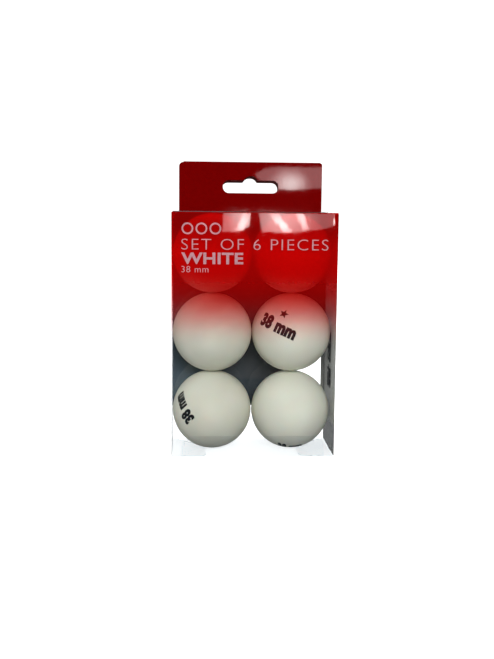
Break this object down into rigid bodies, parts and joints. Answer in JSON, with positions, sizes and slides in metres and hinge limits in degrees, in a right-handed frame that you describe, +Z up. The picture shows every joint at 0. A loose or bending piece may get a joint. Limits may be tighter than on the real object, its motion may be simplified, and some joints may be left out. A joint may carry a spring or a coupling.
{
  "type": "table tennis ball pack",
  "caption": "Clear folding carton with a red hang header, tucked shut at both ends and filled with hollow white table tennis balls.",
  "frame": {"origin": "middle of the pack's base, on the surface it stands on", "axes": "+Z up to the hang header, -Y out of the printed front panel, +X to the right of a viewer who faces the front"},
  "size_m": [0.0772, 0.0396, 0.1399],
  "materials": {
    "clear_sheet": "clear glossy sheet",
    "faded_print": "clear glossy sheet with a red print that fades downwards",
    "dark_print": "clear glossy sheet with a dark print",
    "red_header": "glossy, printed dark red",
    "ball_shell": "fine matt, slightly translucent",
    "weld": "matt"
  },
  "bodies": {
    "carton": {"front_panel": "faded_print", "back_panel": "dark_print", "left_side_panel": "clear_sheet", "right_side_panel": "clear_sheet", "glue_flap": "clear_sheet", "header_front_ply": "red_header", "header_rear_ply": "red_header"},
    "top_lid": {"top_lid": "clear_sheet"},
    "top_tuck": {"top_tuck_flap": "clear_sheet"},
    "top_dust_left": {"top_dust_flap_left": "clear_sheet"},
    "top_dust_right": {"top_dust_flap_right": "clear_sheet"},
    "bottom_lid": {"bottom_lid": "clear_sheet"},
    "bottom_tuck": {"bottom_tuck_flap": "clear_sheet"},
    "bottom_dust_left": {"bottom_dust_flap_left": "clear_sheet"},
    "bottom_dust_right": {"bottom_dust_flap_right": "clear_sheet"},
    "ball_bottom_left": {"ball_bottom_left_shell_a": "ball_shell", "ball_bottom_left_shell_b": "ball_shell", "ball_bottom_left_weld_band": "weld"},
    "ball_bottom_right": {"ball_bottom_right_shell_a": "ball_shell", "ball_bottom_right_shell_b": "ball_shell", "ball_bottom_right_weld_band": "weld"},
    "ball_middle_left": {"ball_middle_left_shell_a": "ball_shell", "ball_middle_left_shell_b": "ball_shell", "ball_middle_left_weld_band": "weld"},
    "ball_middle_right": {"ball_middle_right_shell_a": "ball_shell", "ball_middle_right_shell_b": "ball_shell", "ball_middle_right_weld_band": "weld"},
    "ball_top_left": {"ball_top_left_shell_a": "ball_shell", "ball_top_left_shell_b": "ball_shell", "ball_top_left_weld_band": "weld"},
    "ball_top_right": {"ball_top_right_shell_a": "ball_shell", "ball_top_right_shell_b": "ball_shell", "ball_top_right_weld_band": "weld"}
  },
  "joints": [
    {"name": "top_lid_fold", "type": "hinge", "parent": "carton", "child": "top_lid", "pos_m": [0, -0.01968, 0.11547], "axis": [1, 0, 0], "range_deg": [0, 175]},
    {"name": "top_tuck_crease", "type": "hinge", "parent": "top_lid", "child": "top_tuck", "pos_m": [0, 0.01808, 0.11547], "axis": [1, 0, 0], "range_deg": [0, 18]},
    {"name": "top_dust_left_fold", "type": "hinge", "parent": "carton", "child": "top_dust_left", "pos_m": [-0.03848, 0, 0.11513], "axis": [0, -1, 0], "range_deg": [0, 175]},
    {"name": "top_dust_right_fold", "type": "hinge", "parent": "carton", "child": "top_dust_right", "pos_m": [0.03848, 0, 0.11513], "axis": [0, 1, 0], "range_deg": [0, 175]},
    {"name": "bottom_lid_fold", "type": "hinge", "parent": "carton", "child": "bottom_lid", "pos_m": [0, 0.01928, 0.00013], "axis": [1, 0, 0], "range_deg": [0, 175]},
    {"name": "bottom_tuck_crease", "type": "hinge", "parent": "bottom_lid", "child": "bottom_tuck", "pos_m": [0, -0.01847, 0.00013], "axis": [1, 0, 0], "range_deg": [0, 18]},
    {"name": "bottom_dust_left_fold", "type": "hinge", "parent": "carton", "child": "bottom_dust_left", "pos_m": [-0.03848, 0, 0.00047], "axis": [0, 1, 0], "range_deg": [0, 175]},
    {"name": "bottom_dust_right_fold", "type": "hinge", "parent": "carton", "child": "bottom_dust_right", "pos_m": [0.03848, 0, 0.00047], "axis": [0, -1, 0], "range_deg": [0, 175]},
    {"name": "ball_bottom_left_lift", "type": "slide", "parent": "carton", "child": "ball_bottom_left", "axis": [0, 0, 1], "range_m": [0, 0.04]},
    {"name": "ball_bottom_right_lift", "type": "slide", "parent": "carton", "child": "ball_bottom_right", "axis": [0, 0, 1], "range_m": [0, 0.04]},
    {"name": "ball_middle_left_lift", "type": "slide", "parent": "carton", "child": "ball_middle_left", "axis": [0, 0, 1], "range_m": [0, 0.04]},
    {"name": "ball_middle_right_lift", "type": "slide", "parent": "carton", "child": "ball_middle_right", "axis": [0, 0, 1], "range_m": [0, 0.04]},
    {"name": "ball_top_left_lift", "type": "slide", "parent": "carton", "child": "ball_top_left", "axis": [0, 0, 1], "range_m": [0, 0.04]},
    {"name": "ball_top_right_lift", "type": "slide", "parent": "carton", "child": "ball_top_right", "axis": [0, 0, 1], "range_m": [0, 0.04]}
  ],
  "couplings": [
    {"joint": "top_tuck_crease", "follows": "top_lid_fold", "ratio": 0.1},
    {"joint": "top_dust_left_fold", "follows": "top_lid_fold", "ratio": 1},
    {"joint": "top_dust_right_fold", "follows": "top_lid_fold", "ratio": 1},
    {"joint": "bottom_tuck_crease", "follows": "bottom_lid_fold", "ratio": 0.1},
    {"joint": "bottom_dust_left_fold", "follows": "bottom_lid_fold", "ratio": 1},
    {"joint": "bottom_dust_right_fold", "follows": "bottom_lid_fold", "ratio": 1},
    {"joint": "ball_bottom_left_lift", "follows": "top_lid_fold", "m_per_rad": 0.013},
    {"joint": "ball_bottom_right_lift", "follows": "top_lid_fold", "m_per_rad": 0.013},
    {"joint": "ball_middle_left_lift", "follows": "top_lid_fold", "m_per_rad": 0.013},
    {"joint": "ball_middle_right_lift", "follows": "top_lid_fold", "m_per_rad": 0.013},
    {"joint": "ball_top_left_lift", "follows": "top_lid_fold", "m_per_rad": 0.013},
    {"joint": "ball_top_right_lift", "follows": "top_lid_fold", "m_per_rad": 0.013}
  ]
}
